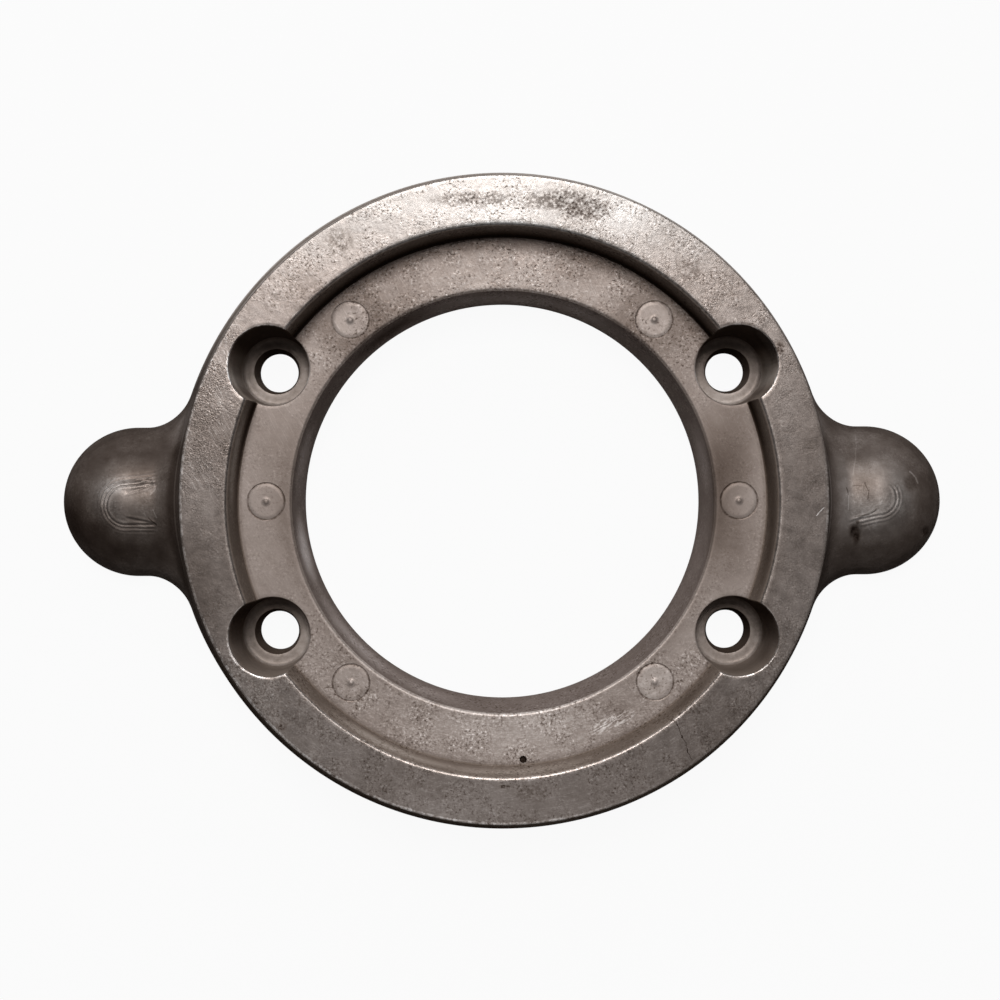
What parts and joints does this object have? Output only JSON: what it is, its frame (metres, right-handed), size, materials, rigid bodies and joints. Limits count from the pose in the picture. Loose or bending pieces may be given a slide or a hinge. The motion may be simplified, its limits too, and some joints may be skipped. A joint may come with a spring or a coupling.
{
  "type": "sacrificial anode",
  "caption": "Ring-shaped cast sacrificial anode with a stepped face, counterbored screw holes and a rounded ear on each side.",
  "frame": {"origin": "centre of the bore on the flat back, which the ring lies on", "axes": "+X along the two ears, +Z along the bore axis from the flat back towards the stepped face with the screw seats"},
  "size_m": [0.1638, 0.1232, 0.02],
  "materials": {
    "cast_zinc": "satin"
  },
  "bodies": {
    "root": {"anode_ring": "cast_zinc"}
  },
  "joints": []
}
